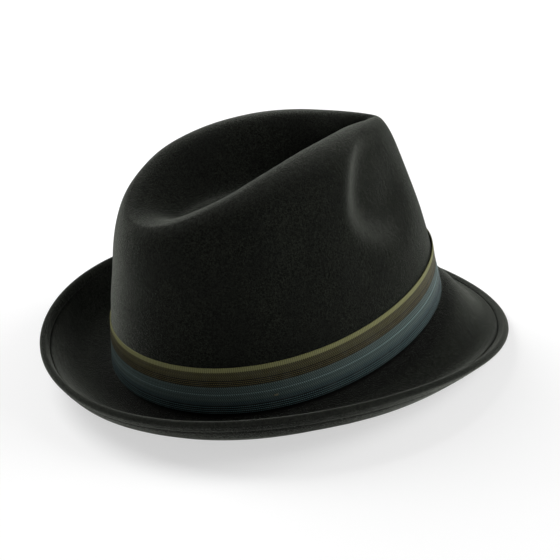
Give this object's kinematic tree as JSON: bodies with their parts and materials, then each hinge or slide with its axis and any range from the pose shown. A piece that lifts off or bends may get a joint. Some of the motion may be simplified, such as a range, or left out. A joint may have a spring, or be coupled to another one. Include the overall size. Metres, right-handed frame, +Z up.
{
  "type": "fedora hat",
  "caption": "Short-brimmed felt fedora with a teardrop-dented crown, front pinches, a striped ribbon band with a flat bow, a sweatband and a lining.",
  "frame": {"origin": "bottom centre of the hat's box as it stands on a table on the front and the back of its brim", "axes": "+Z up, -Y towards the front of the hat, +X towards the wearer's left; the plane of the head opening leans back by 7.1 degrees, as head_opening states"},
  "size_m": [0.254, 0.28, 0.1378],
  "materials": {
    "wool_felt": "dark charcoal wool felt with a short soft nap",
    "felt_thread": "matt sewing thread",
    "striped_ribbon": "ribbed grosgrain with lengthwise stripes",
    "ribbon_thread": "soft sheen thread",
    "reed_tape": "plain woven cotton tape",
    "reed_plastic": "drawn plastic cord",
    "sweatband_leather": "smooth fine-grained leather",
    "bow_satin": "narrow satin",
    "label_tape": "plain woven label",
    "lining_satin": "dark satin"
  },
  "bodies": {
    "root": {"felt_body": "wool_felt", "brim_stitch_top": "felt_thread", "brim_stitch_under": "felt_thread", "hat_band": "striped_ribbon", "bow_tail": "striped_ribbon", "bow_loop_rear": "striped_ribbon", "bow_loop_front": "striped_ribbon", "bow_knot": "striped_ribbon", "ribbon_tack_front": "ribbon_thread", "ribbon_tack_rear": "ribbon_thread", "ribbon_tack_right": "ribbon_thread", "reed_tape": "reed_tape", "sweatband_reed": "reed_plastic", "sweatband": "sweatband_leather", "sweatband_stitch": "felt_thread", "sweatband_bow": "bow_satin", "size_tab": "label_tape", "lining_side": "lining_satin", "lining_piping": "bow_satin", "lining_tip": "lining_satin"}
  },
  "joints": []
}
